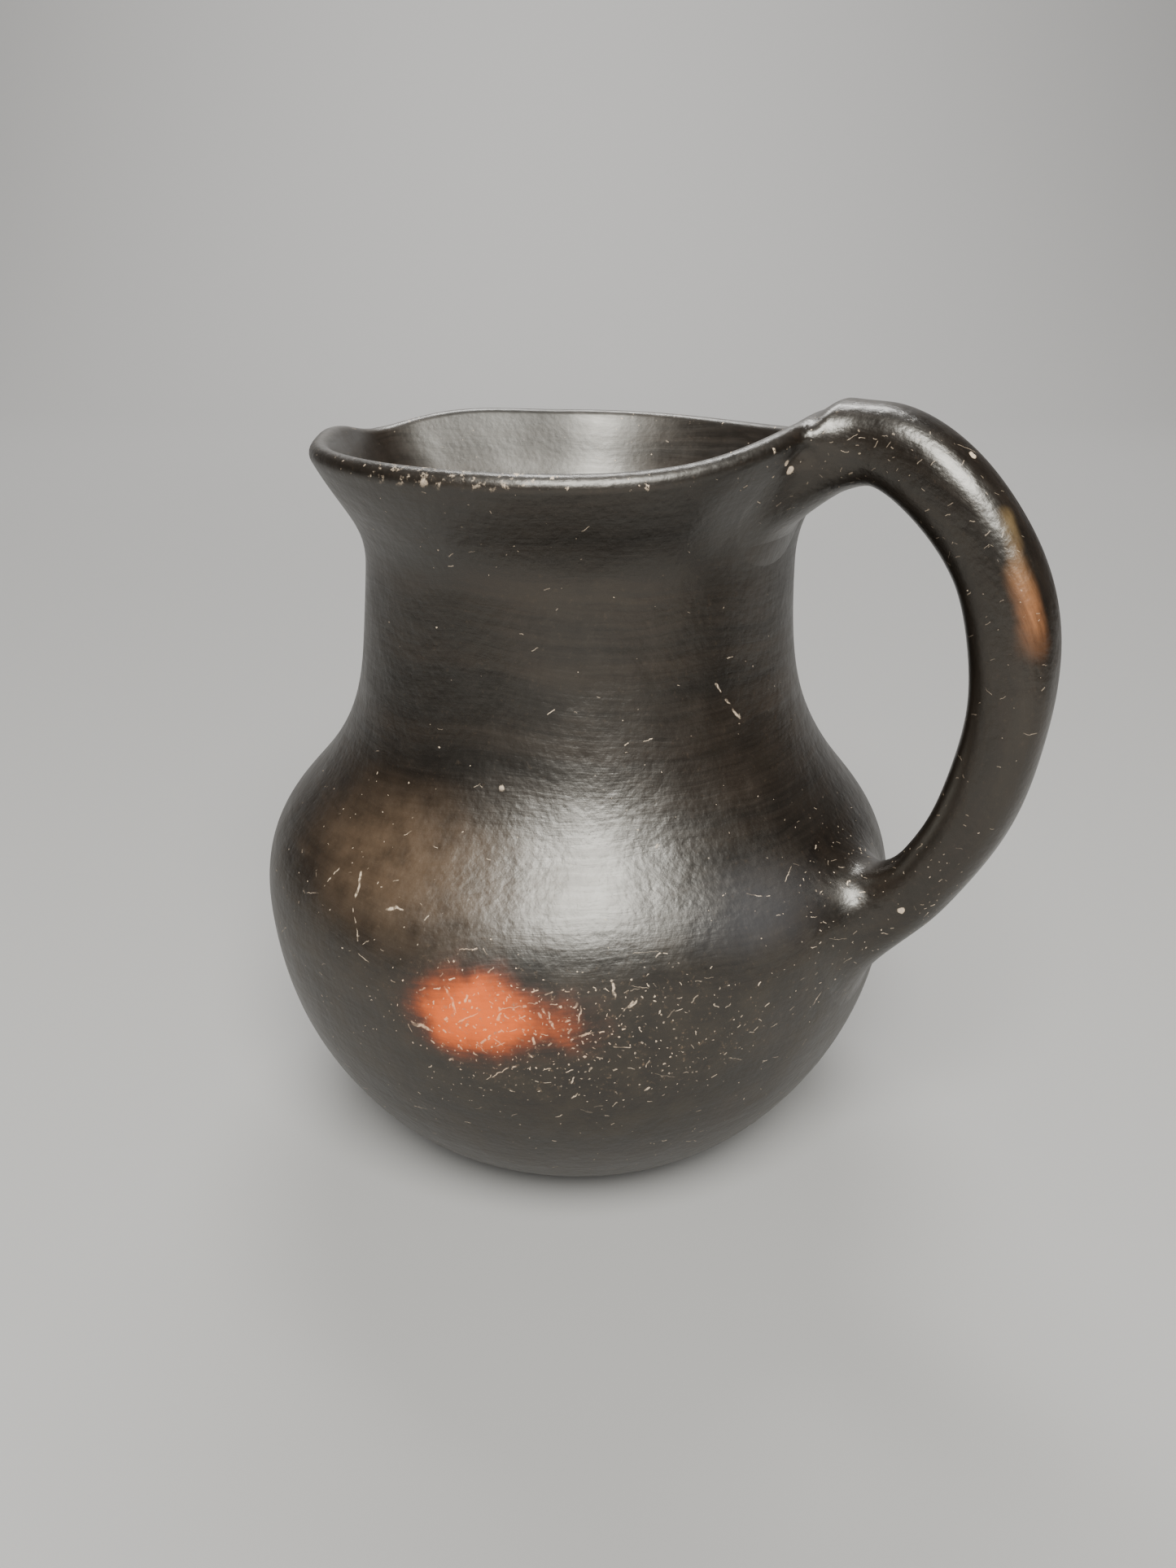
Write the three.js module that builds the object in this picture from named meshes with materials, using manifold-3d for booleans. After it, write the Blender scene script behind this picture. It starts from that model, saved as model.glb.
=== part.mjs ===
// A hand-built, burnished blackware clay jug: a round belly, a tall waisted neck, a flared mouth with a pinched
// pouring lip, and one rolled handle. The potter opens a lump into a bowl, adds coils for the shoulder, the neck and
// the lip, then presses a rolled handle on and smears a collar of soft clay round each of its ends.
// Millimetres, +Z up. The origin is the centre of the flat foot; the handle points along +X and the pouring lip along -X.
import * as THREE from "three";
import { mergeVertices } from "three/addons/utils/BufferGeometryUtils.js";
import Module from "manifold-3d";

// Outside of the pot.
const FOOT_RADIUS = 29.5;
const BELLY_RADIUS = 75;
const BELLY_HEIGHT = 63.5;
const NECK_RADIUS = 48;
const NECK_HEIGHT = 139.5;
const MOUTH_RADIUS = 58.8;
const MOUTH_HEIGHT = 163;

// Clay thicknesses.
const FLOOR_THICKNESS = 7;
const BELLY_THICKNESS = 5.2;
const LIP_THICKNESS = 4.5;

// Where the coils meet, counted along the outline: 1 is the belly, 2 the narrowest neck and 3 the mouth.
const SHOULDER_TOP = 1.55;
const NECK_TOP = 1.87;

// What the potter's fingers do to the soft neck and mouth: nothing below SOFT_FROM, all of it at the mouth.
const SOFT_FROM = 122;
const HANDLE_RISE = 7.6;
const HANDLE_RISE_SPREAD = THREE.MathUtils.degToRad(27);
const SPOUT_PULL = 3.6;
const SPOUT_DIP = 2.6;
const SPOUT_SPREAD = THREE.MathUtils.degToRad(13);
const PINCH_DEPTH = 3;
const PINCH_ANGLE = THREE.MathUtils.degToRad(40);
const PINCH_SPREAD = THREE.MathUtils.degToRad(18);

// The rim is not quite level on one side: it sags beside the handle and swells up beside the pouring lip.
const RIM_WAVES = [
  { at: THREE.MathUtils.degToRad(68), spread: THREE.MathUtils.degToRad(34), height: -1.4 },
  { at: THREE.MathUtils.degToRad(153), spread: THREE.MathUtils.degToRad(18), height: 0.9 },
];

// The handle: a tapering roll of clay bent along a line in the plane Y = 0, given as [out from the axis, height].
const HANDLE_LINE = [
  [50, 161.6],
  [59.6, 167.3],
  [69.2, 169.1],
  [81.1, 163],
  [93.6, 147.9],
  [98.6, 126.4],
  [94.7, 100.8],
  [85.7, 83.1],
  [68, 62],
];
const HANDLE_TOP_RADIUS = 7.5;
const HANDLE_GRIP_RADIUS = 7.9;
const HANDLE_FOOT_RADIUS = 6.9;

// The collars of soft clay, measured along the handle's line from its two ends.
const UPPER_COLLAR = { from: 2, to: 27, flare: 9 };
const LOWER_COLLAR = { from: 2, to: 30, flare: 11 };
const COLLAR_EDGE = 0.7;
const COLLAR_SPARED = 0.9;

const JOINT_GAP = 0.3;
const CLEARANCE = 40;
const POT_SIDES = 60;
const ROLL_SIDES = 20;
const ROLL_STEPS = 30;

const CLAY_COLOUR = 0x241d19;
const INSIDE_COLOUR = 0x35322e;

const wasm = await Module();
wasm.setup();

// The outline of the outside as three curves that share upright tangents at the belly and the narrowest neck.
const at = (r, z) => new THREE.Vector2(r, z);
const OUTLINE = [
  new THREE.CubicBezierCurve(
    at(FOOT_RADIUS, 0),
    at(FOOT_RADIUS + 24, 0),
    at(BELLY_RADIUS, BELLY_HEIGHT - 35),
    at(BELLY_RADIUS, BELLY_HEIGHT),
  ),
  new THREE.CubicBezierCurve(
    at(BELLY_RADIUS, BELLY_HEIGHT),
    at(BELLY_RADIUS, BELLY_HEIGHT + 30.5),
    at(NECK_RADIUS, NECK_HEIGHT - 55),
    at(NECK_RADIUS, NECK_HEIGHT),
  ),
  new THREE.CubicBezierCurve(
    at(NECK_RADIUS, NECK_HEIGHT),
    at(NECK_RADIUS, NECK_HEIGHT + 10),
    at(MOUTH_RADIUS - 6, MOUTH_HEIGHT - 11),
    at(MOUTH_RADIUS, MOUTH_HEIGHT),
  ),
];

// A point of the outline and its outward normal, with u running from 0 at the foot to 3 at the mouth.
function outlineAt(u) {
  const piece = Math.min(Math.floor(u), OUTLINE.length - 1);
  const point = OUTLINE[piece].getPoint(u - piece);
  const tangent = OUTLINE[piece].getTangent(u - piece);
  return { point, normal: at(tangent.y, -tangent.x) };
}

// The clay thins evenly from the floor to the belly, and from there to the lip.
function thicknessAt(u) {
  const { lerp } = THREE.MathUtils;
  return u < 1 ? lerp(FLOOR_THICKNESS, BELLY_THICKNESS, u) : lerp(BELLY_THICKNESS, LIP_THICKNESS, (u - 1) / 2);
}

// Outline points pushed out by a distance, from one u to another.
function offsetPoints(from, to, steps, distance) {
  return Array.from({ length: steps + 1 }, (_, i) => {
    const u = THREE.MathUtils.lerp(from, to, i / steps);
    const { point, normal } = outlineAt(u);
    return point.clone().addScaledVector(normal, distance(u));
  });
}

const outside = (from, to, steps) => offsetPoints(from, to, steps, () => 0);
const inside = (from, to, steps) => offsetPoints(from, to, steps, (u) => -thicknessAt(u));

// 1 at the middle of a bump and fading to 0 either side of it.
const bump = (angle, spread) => Math.exp(-((angle / spread) ** 2));

// Moves one point of the pot as the finished jug has it: the rim rises towards the handle, and the mouth opposite it
// is drawn out and down into a pouring lip between two pressed-in sides.
function shapeByHand(p) {
  const reach = THREE.MathUtils.smoothstep(p.z, SOFT_FROM, MOUTH_HEIGHT);
  if (reach === 0) return;
  const fromHandle = Math.atan2(p.y, p.x);
  const fromSpout = Math.PI - Math.abs(fromHandle);
  const pull =
    SPOUT_PULL * bump(fromSpout, SPOUT_SPREAD) - PINCH_DEPTH * bump(fromSpout - PINCH_ANGLE, PINCH_SPREAD);
  const radius = Math.hypot(p.x, p.y);
  const grown = radius > 0 ? (radius + reach * pull) / radius : 1;
  p.x *= grown;
  p.y *= grown;
  let lift = HANDLE_RISE * bump(fromHandle, HANDLE_RISE_SPREAD) - SPOUT_DIP * bump(fromSpout, SPOUT_SPREAD);
  for (const wave of RIM_WAVES) lift += wave.height * bump(fromHandle - wave.at, wave.spread);
  p.z += reach * lift;
}

function moveVertices(geometry, move) {
  const positions = geometry.getAttribute("position");
  const p = new THREE.Vector3();
  for (let i = 0; i < positions.count; i++) {
    p.fromBufferAttribute(positions, i);
    move(p);
    positions.setXYZ(i, p.x, p.y, p.z);
  }
  return geometry;
}

// Turns a profile of [radius, height] points about +Z and shapes the result by hand.
function potGeometry(profile) {
  const turned = new THREE.LatheGeometry(profile, POT_SIDES).rotateX(Math.PI / 2);
  return moveVertices(turned, shapeByHand);
}

// The bottom of the pot, opened out of one lump: a flat foot, a floor, and the wall up to the belly.
function bowlGeometry() {
  return potGeometry([
    at(0, 0),
    ...outside(0, 1, 9),
    ...inside(1, 0, 9),
    at(0, FLOOR_THICKNESS),
  ]);
}

// A ring of wall between two places on the outline, its joint faces square to the wall.
function coilGeometry(from, to, steps) {
  const ring = [...outside(from, to, steps), ...inside(to, from, steps)];
  return potGeometry([...ring, ring[0]]);
}

// Points on the rounding of the lip, turned from the wall's outward normal through an angle.
function lipPoints(radius, turn, steps) {
  const { point, normal } = outlineAt(3);
  const centre = point.clone().addScaledVector(normal, -LIP_THICKNESS / 2);
  return Array.from({ length: steps }, (_, i) => {
    const angle = normal.angle() + (turn * (i + 1)) / (steps + 1);
    return at(centre.x + radius * Math.cos(angle), centre.y + radius * Math.sin(angle));
  });
}

// The top coil: a ring of wall that ends in a rounded lip.
function mouthGeometry(from, steps) {
  const lip = lipPoints(LIP_THICKNESS / 2, Math.PI, 5);
  const ring = [...outside(from, 3, steps), ...lip, ...inside(3, from, steps)];
  return potGeometry([...ring, ring[0]]);
}

// Everything inside the pot's outer face, with a margin, and straight up from the top of its lip: the handle and its
// collars are kept out of this.
function filledPot() {
  const lip = lipPoints(LIP_THICKNESS / 2 + JOINT_GAP, Math.PI * 0.7, 4);
  const crest = lip.at(-1);
  return solidOf(
    potGeometry([
      at(0, -JOINT_GAP),
      ...offsetPoints(0, 3, 24, () => JOINT_GAP),
      ...lip,
      at(crest.x, crest.y + CLEARANCE),
      at(0, crest.y + CLEARANCE),
    ]),
  );
}

const handleLine = new THREE.CatmullRomCurve3(
  HANDLE_LINE.map(([out, height]) => new THREE.Vector3(out, 0, height)),
  false,
  "centripetal",
);
const handleLength = handleLine.getLength();

// The handle's radius along its line: a parabola through the top, the grip and the foot.
function handleRadius(along) {
  const s = along / handleLength;
  const top = HANDLE_TOP_RADIUS * (1 - s) * (1 - 2 * s);
  const grip = HANDLE_GRIP_RADIUS * 4 * s * (1 - s);
  const foot = HANDLE_FOOT_RADIUS * s * (2 * s - 1);
  return top + grip + foot;
}

// Turns a profile of [radius, distance along the handle] points about its own line and bends it along that line.
// The radius can be changed by how far a point lies towards the back of the bend, from -1 to 1.
function rollGeometry(profile, changed = (radius) => radius) {
  const straight = new THREE.LatheGeometry(profile, ROLL_SIDES);
  const across = new THREE.Vector3(0, 1, 0);
  return moveVertices(straight, (p) => {
    const radius = Math.hypot(p.x, p.z);
    const grown = radius > 0 ? changed(radius, p.y, p.x / radius) / radius : 1;
    const share = THREE.MathUtils.clamp(p.y / handleLength, 0, 1);
    const tangent = handleLine.getTangentAt(share);
    const outward = new THREE.Vector3().crossVectors(tangent, across);
    const centre = handleLine.getPointAt(share);
    p.copy(centre.addScaledVector(outward, p.x * grown).addScaledVector(across, p.z * grown));
  });
}

function handleGeometry() {
  const sides = Array.from({ length: ROLL_STEPS + 1 }, (_, i) => {
    const along = (handleLength * i) / ROLL_STEPS;
    return at(handleRadius(along), along);
  });
  return rollGeometry([at(0, 0), ...sides, at(0, handleLength)]);
}

// A collar round the handle. It is thickest at the wall and feathers out along the handle, and the clay is smeared
// thin over the back of the handle's bend.
function collarGeometry({ from, to, flare }, atTop) {
  const steps = 7;
  const outer = Array.from({ length: steps + 1 }, (_, i) => {
    const share = i / steps;
    const distance = THREE.MathUtils.lerp(from, to, share);
    const along = atTop ? distance : handleLength - distance;
    const thickness = THREE.MathUtils.lerp(flare, COLLAR_EDGE, Math.sin((share * Math.PI) / 2));
    return at(handleRadius(along) + JOINT_GAP + thickness, along);
  });
  const inner = outer.map(({ y }) => at(handleRadius(y) + JOINT_GAP, y));
  const ring = atTop ? [...outer, ...inner.reverse()] : [...outer.reverse(), ...inner];
  return rollGeometry([...ring, ring[0]], (radius, along, towardsBack) => {
    const bore = handleRadius(along) + JOINT_GAP + COLLAR_EDGE;
    return radius > bore ? bore + (radius - bore) * (1 - COLLAR_SPARED * Math.max(0, towardsBack) ** 2) : radius;
  });
}

// A closed geometry as a solid that can be cut.
function solidOf(geometry) {
  const bare = geometry.clone();
  bare.deleteAttribute("normal");
  bare.deleteAttribute("uv");
  const merged = mergeVertices(bare, 1e-3);
  return new wasm.Manifold(
    new wasm.Mesh({
      numProp: 3,
      vertProperties: merged.getAttribute("position").array,
      triVerts: new Uint32Array(merged.index.array),
    }),
  );
}

// The outermost piece that a cut leaves, as a geometry: what stays beyond the pot's wall.
function outermost(solid) {
  const reach = (piece) => piece.boundingBox().max[0];
  const kept = solid.decompose().sort((a, b) => reach(b) - reach(a))[0];
  const mesh = kept.getMesh();
  return new THREE.BufferGeometry()
    .setAttribute("position", new THREE.BufferAttribute(mesh.vertProperties, 3))
    .setIndex(new THREE.BufferAttribute(mesh.triVerts, 1));
}

function clay(colour, roughness) {
  return new THREE.MeshStandardMaterial({ color: colour, roughness, metalness: 0 });
}

const jug = new THREE.Group();

function add(name, geometry, material) {
  const mesh = new THREE.Mesh(geometry, material);
  mesh.name = name;
  jug.add(mesh);
}

const pot = filledPot();
const beyondPot = (geometry) => outermost(solidOf(geometry).subtract(pot));

add("base_bowl", bowlGeometry(), clay(CLAY_COLOUR, 0.4));
add("shoulder_coil", coilGeometry(1, SHOULDER_TOP, 6), clay(CLAY_COLOUR, 0.36));
add("neck_coil", coilGeometry(SHOULDER_TOP, NECK_TOP, 4), clay(CLAY_COLOUR, 0.38));
add("mouth_coil", mouthGeometry(NECK_TOP, 11), clay(INSIDE_COLOUR, 0.36));
add("handle_coil", beyondPot(handleGeometry()), clay(CLAY_COLOUR, 0.34));
add("upper_handle_lute", beyondPot(collarGeometry(UPPER_COLLAR, true)), clay(CLAY_COLOUR, 0.36));
add("lower_handle_lute", beyondPot(collarGeometry(LOWER_COLLAR, false)), clay(CLAY_COLOUR, 0.36));

export default jug;
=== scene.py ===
"""A hand-built, burnished blackware clay jug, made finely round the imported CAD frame.

Lengths are in millimetres until the meshes are made. +Z is up, the handle points along +X and the
pouring lip along -X. The pot is one outline turned round the axis and then shaped as by hand. The
handle is a roll bent along a line, and two roots, fitted to a smooth union of roll and pot, carry it
into the pot's surface.
"""

import math

import bpy
import numpy as np
from mathutils import Matrix, Vector


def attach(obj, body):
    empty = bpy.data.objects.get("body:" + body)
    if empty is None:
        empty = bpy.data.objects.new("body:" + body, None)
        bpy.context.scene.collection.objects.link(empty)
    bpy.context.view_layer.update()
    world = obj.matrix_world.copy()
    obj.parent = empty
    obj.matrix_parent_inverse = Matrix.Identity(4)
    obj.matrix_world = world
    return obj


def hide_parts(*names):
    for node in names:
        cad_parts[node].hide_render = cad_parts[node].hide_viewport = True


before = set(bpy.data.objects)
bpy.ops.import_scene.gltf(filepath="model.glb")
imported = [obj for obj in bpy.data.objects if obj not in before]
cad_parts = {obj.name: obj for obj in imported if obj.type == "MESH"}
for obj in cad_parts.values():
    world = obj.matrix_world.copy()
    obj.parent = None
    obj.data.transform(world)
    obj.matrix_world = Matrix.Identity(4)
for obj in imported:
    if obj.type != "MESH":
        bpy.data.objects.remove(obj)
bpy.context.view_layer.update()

MM = 0.001

# ---- Sizes, as in the CAD ------------------------------------------------------------------------

FOOT_RADIUS = 29.5
BELLY_RADIUS = 75.0
BELLY_HEIGHT = 63.5
NECK_RADIUS = 48.0
NECK_HEIGHT = 139.5
MOUTH_RADIUS = 58.8
MOUTH_HEIGHT = 163.0

FLOOR_THICKNESS = 7.0
BELLY_THICKNESS = 5.2
LIP_THICKNESS = 4.5

# Where the coils join, as places on the outline: 0 is the foot, 1 the belly, 2 the neck, 3 the mouth.
SHOULDER_TOP = 1.55
NECK_TOP = 1.87

# What the hands do above SOFT_FROM: how far they move the rim, where and over what angle.
SOFT_FROM = 122.0
HANDLE_RISE = 7.6
HANDLE_RISE_SPREAD = math.radians(27)
SPOUT_PULL = 3.6
SPOUT_DIP = 2.6
SPOUT_SPREAD = math.radians(13)
PINCH_DEPTH = 3.0
PINCH_ANGLE = math.radians(40)
PINCH_SPREAD = math.radians(18)
RIM_DROOP = 1.4
RIM_DROOP_ANGLE = math.radians(68)
RIM_DROOP_SPREAD = math.radians(34)
RIM_SWELL = 0.9
RIM_SWELL_ANGLE = math.radians(153)
RIM_SWELL_SPREAD = math.radians(18)

# The middle line of the roll as [x, z], and its radii at even steps along it.
HANDLE_LINE = np.array(
    [
        (50, 161.6),
        (59.6, 167.3),
        (69.2, 169.1),
        (81.1, 163.0),
        (93.6, 147.9),
        (98.6, 126.4),
        (94.7, 100.8),
        (85.7, 83.1),
        (68, 62),
    ]
)
HANDLE_RADII = (6.8, 8.0, 7.95, 7.65, 7.2, 6.85)

# The outside of the pot: three Bezier curves in [r, z].
OUTLINE = np.array(
    [
        [
            (FOOT_RADIUS, 0),
            (FOOT_RADIUS + 24, 0),
            (BELLY_RADIUS, BELLY_HEIGHT - 35),
            (BELLY_RADIUS, BELLY_HEIGHT),
        ],
        [
            (BELLY_RADIUS, BELLY_HEIGHT),
            (BELLY_RADIUS, BELLY_HEIGHT + 30.5),
            (NECK_RADIUS, NECK_HEIGHT - 55),
            (NECK_RADIUS, NECK_HEIGHT),
        ],
        [
            (NECK_RADIUS, NECK_HEIGHT),
            (NECK_RADIUS, NECK_HEIGHT + 10),
            (MOUTH_RADIUS - 6, MOUTH_HEIGHT - 11),
            (MOUTH_RADIUS, MOUTH_HEIGHT),
        ],
    ]
)

# ---- The pot's outline ---------------------------------------------------------------------------


def smoothstep(x, low, high):
    t = np.clip((x - low) / (high - low), 0, 1)
    return t * t * (3 - 2 * t)


def bump(x, spread):
    return np.exp(-((x / spread) ** 2))


def unit(v):
    return v / np.maximum(np.linalg.norm(v, axis=-1, keepdims=True), 1e-12)


def outline(u):
    """Points [r, z] on the outside and their outward normals. u is 0 at the foot and 3 at the mouth."""
    u = np.atleast_1d(np.asarray(u, float))
    part = np.minimum(u.astype(int), 2)
    t = (u - part)[:, None]
    a, b, c, d = (OUTLINE[part, i] for i in range(4))
    point = a * (1 - t) ** 3 + 3 * b * t * (1 - t) ** 2 + 3 * c * t * t * (1 - t) + d * t**3
    slope = unit((b - a) * (1 - t) ** 2 + 2 * (c - b) * t * (1 - t) + (d - c) * t * t)
    return point, np.stack([slope[:, 1], -slope[:, 0]], 1)


def thickness(u):
    lower = FLOOR_THICKNESS + (BELLY_THICKNESS - FLOOR_THICKNESS) * u
    upper = BELLY_THICKNESS + (LIP_THICKNESS - BELLY_THICKNESS) * (u - 1) / 2
    return np.where(u < 1, lower, upper)


def even_steps(start, end, spacing):
    """Values of u from start to end whose points lie about one spacing apart."""
    fine = np.linspace(start, end, 400)
    points, _ = outline(fine)
    along = np.concatenate([[0], np.cumsum(np.linalg.norm(np.diff(points, axis=0), axis=1))])
    count = max(2, int(round(along[-1] / spacing)))
    return np.interp(np.linspace(0, along[-1], count + 1), along, fine)


ROW_SPACING = 1.15
LIP_ROWS = 12
FLOOR_ROWS = 14
SIDES = 384

joints_u = (0, 1, SHOULDER_TOP, NECK_TOP, 3)
outer_u = np.concatenate(
    [even_steps(a, b, ROW_SPACING)[:-1] for a, b in zip(joints_u, joints_u[1:])] + [[3.0]]
)
outer_points, outer_normals = outline(outer_u)
inner_points = outer_points - outer_normals * thickness(outer_u)[:, None]

lip_start = math.atan2(outer_normals[-1, 1], outer_normals[-1, 0])
lip_angles = lip_start + np.linspace(0, math.pi, LIP_ROWS + 2)[1:-1]
lip_centre = outer_points[-1] - outer_normals[-1] * LIP_THICKNESS / 2
lip_points = lip_centre + LIP_THICKNESS / 2 * np.stack([np.cos(lip_angles), np.sin(lip_angles)], 1)

# One path in the [r, z] plane: under the foot from the axis, up the outside, over the lip, down the
# inside, and across the floor back to the axis.
foot_r = np.linspace(0, FOOT_RADIUS, FLOOR_ROWS)[1:-1]
foot_points = np.stack([foot_r, np.zeros_like(foot_r)], 1)
floor_points = np.stack([foot_r[::-1], np.full_like(foot_r, FLOOR_THICKNESS)], 1)
path = np.concatenate([foot_points, outer_points, lip_points, inner_points[::-1], floor_points])
first_outer = len(foot_points)
first_lip = first_outer + len(outer_points)
first_inner = first_lip + len(lip_points)


# ---- What the potter's hands do ------------------------------------------------------------------


def shape_by_hand(p):
    """The rim rises to the handle. Opposite it the mouth is drawn out between two pressed-in sides."""
    reach = smoothstep(p[..., 2], SOFT_FROM, MOUTH_HEIGHT)
    from_handle = np.arctan2(p[..., 1], p[..., 0])
    from_spout = math.pi - np.abs(from_handle)
    pull = SPOUT_PULL * bump(from_spout, SPOUT_SPREAD)
    pull = pull - PINCH_DEPTH * bump(from_spout - PINCH_ANGLE, PINCH_SPREAD)
    radius = np.maximum(np.hypot(p[..., 0], p[..., 1]), 1e-9)
    grown = 1 + reach * pull / radius
    lift = HANDLE_RISE * bump(from_handle, HANDLE_RISE_SPREAD)
    lift = lift - SPOUT_DIP * bump(from_spout, SPOUT_SPREAD)
    lift = lift - RIM_DROOP * bump(from_handle - RIM_DROOP_ANGLE, RIM_DROOP_SPREAD)
    lift = lift + RIM_SWELL * bump(from_handle - RIM_SWELL_ANGLE, RIM_SWELL_SPREAD)
    return np.stack([p[..., 0] * grown, p[..., 1] * grown, p[..., 2] + reach * lift], -1)


# The foot of the neck sits a little off the axis.
LEAN_X = 0.399
LEAN_Y = 0.287
LEAN_HEIGHT = 100
LEAN_SPREAD = 14


def wobble(p):
    """The small unevenness of a hand-built pot, the same for every piece so that they stay joined."""
    x, y, z = p[..., 0], p[..., 1], p[..., 2]
    off = smoothstep(z, 2, 25)
    radius = np.maximum(np.hypot(x, y), 1e-9)
    out = 0.28 * np.sin(0.045 * x + 0.031 * y + 0.06 * z + 0.4)
    out += 0.22 * np.sin(-0.05 * x + 0.066 * y - 0.043 * z + 2.1)
    out += 0.10 * np.sin(0.13 * x - 0.05 * y + 0.11 * z + 1.3)
    out += 0.07 * np.sin(0.06 * x + 0.16 * y - 0.13 * z)
    lean = bump(z - LEAN_HEIGHT, LEAN_SPREAD)
    grown = 1 + off * out / radius
    up = 0.35 * smoothstep(z, 120, 165) * np.sin(0.034 * x - 0.041 * y + 1.1)
    return np.stack([x * grown + LEAN_X * lean, y * grown + LEAN_Y * lean, z + up], -1)


def turned(points):
    """A grid of rows by sides from [r, z] points turned round the axis and shaped by hand."""
    angle = np.linspace(0, 2 * math.pi, SIDES, endpoint=False)
    r, z = points[:, 0][:, None], points[:, 1][:, None]
    flat = np.stack([r * np.cos(angle), r * np.sin(angle), z + 0 * angle], -1)
    return shape_by_hand(flat)


def grid_normals(grid):
    """Normals of a grid that closes on itself along its second index, pointing out of the clay."""
    along = np.gradient(grid, axis=0)
    round_ = np.roll(grid, -1, 1) - np.roll(grid, 1, 1)
    return unit(np.cross(round_, along))


# ---- The handle ----------------------------------------------------------------------------------


def between(t, start, end, a, b):
    """a where t is start, b where t is end, and straight on between and past them."""
    return (end - t) / (end - start) * a + (t - start) / (end - start) * b


def smooth_line(points, per_span=60):
    """A centripetal Catmull-Rom line through the points."""
    ends = np.concatenate([[2 * points[0] - points[1]], points, [2 * points[-1] - points[-2]]])
    out = []
    for i in range(len(points) - 1):
        p = ends[i : i + 4]
        k = np.concatenate([[0], np.cumsum(np.linalg.norm(np.diff(p, axis=0), axis=1) ** 0.5)])
        t = np.linspace(k[1], k[2], per_span, endpoint=i == len(points) - 2)[:, None]
        a = [between(t, k[j], k[j + 1], p[j], p[j + 1]) for j in range(3)]
        b = [between(t, k[j], k[j + 2], a[j], a[j + 1]) for j in range(2)]
        out.append(between(t, k[1], k[2], b[0], b[1]))
    return np.concatenate(out)


LINE_SAMPLES = 641
ACROSS = np.array([0.0, 1.0, 0.0])

line = smooth_line(HANDLE_LINE)
line_along = np.concatenate([[0], np.cumsum(np.linalg.norm(np.diff(line, axis=0), axis=1))])
handle_length = line_along[-1]
line_s = np.linspace(0, handle_length, LINE_SAMPLES)
line_c = np.stack(
    [np.interp(line_s, line_along, line[:, 0]), 0 * line_s, np.interp(line_s, line_along, line[:, 1])], 1
)
line_t = unit(np.gradient(line_c, axis=0))
line_n = np.cross(line_t, ACROSS)
radius_curve = np.polyfit(np.linspace(0, 1, len(HANDLE_RADII)), HANDLE_RADII, len(HANDLE_RADII) - 1)


def handle_radius(s, angle):
    """The roll's radius: tapered along its line, a little squared and uneven as the palm left it."""
    uneven = 0.015 * np.sin(0.11 * s + 2 * angle) + 0.012 * np.sin(0.2 * s + 1)
    return np.polyval(radius_curve, s / handle_length) * (1 - 0.03 * np.cos(4 * angle) + uneven)


def handle_points(s, angle):
    """Points on the roll, for arrays of distance along it and of angle from the back of the bend."""
    centre = np.stack([np.interp(s, line_s, line_c[:, i]) for i in range(3)], -1)
    out = unit(np.stack([np.interp(s, line_s, line_n[:, i]) for i in range(3)], -1))
    r = handle_radius(s, angle)[..., None]
    return centre + r * (np.cos(angle)[..., None] * out + np.sin(angle)[..., None] * ACROSS)


def handle_tangent(s):
    return unit(np.stack([np.interp(s, line_s, line_t[:, i]) for i in range(3)], -1))


# How far the smeared clay reaches from the corner between the roll and the pot.
UPPER_BLEND = 10.5
LOWER_BLEND = 15.0
LOWEST_BLEND = 6.0
LIP_BLEND = 4.5
# The rounding of the roll's end over the middle of the lip.
LIP_CUT_ROUND = 5.0

upper_wall = np.concatenate([outer_points[outer_u > 1.9], lip_points, inner_points[outer_u > 2.8][::-1]])
lower_wall = outer_points[(outer_u > 0.5) & (outer_u < 1.7)]


def smooth_max(a, b, k):
    h = np.maximum(k - np.abs(a - b), 0) / k
    return np.maximum(a, b) + h * h * k / 4


def near_top(p):
    return p[:, 2].mean() > 120


def before_hands(p):
    """Where points at the mouth were before shape_by_hand moved them."""
    q = p.copy()
    for _ in range(4 if near_top(p) else 0):
        q = p - (shape_by_hand(q) - q)
    return q


def pot_distance(q):
    """Signed distance from the wall of the pot near one end of the handle, for points before_hands."""
    rz = np.stack([np.hypot(q[:, 0], q[:, 1]), q[:, 2]], 1)
    wall = upper_wall if near_top(q) else lower_wall
    a, b = wall[:-1], wall[1:]
    step = b - a
    length = np.linalg.norm(step, axis=1)
    side = np.stack([step[:, 1], -step[:, 0]], 1) / length[:, None]
    out = np.empty(len(q))
    for i in range(0, len(q), 4000):
        d = rz[i : i + 4000, None] - a
        t = np.clip((d * step).sum(-1) / length**2, 0, 1)
        d = d - t[..., None] * step
        gap = np.linalg.norm(d, axis=-1)
        k = np.argmin(gap, axis=1)
        rows = np.arange(len(k))
        out[i : i + 4000] = gap[rows, k] * np.where((d[rows, k] * side[k]).sum(-1) < 0, -1, 1)
    return out


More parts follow.
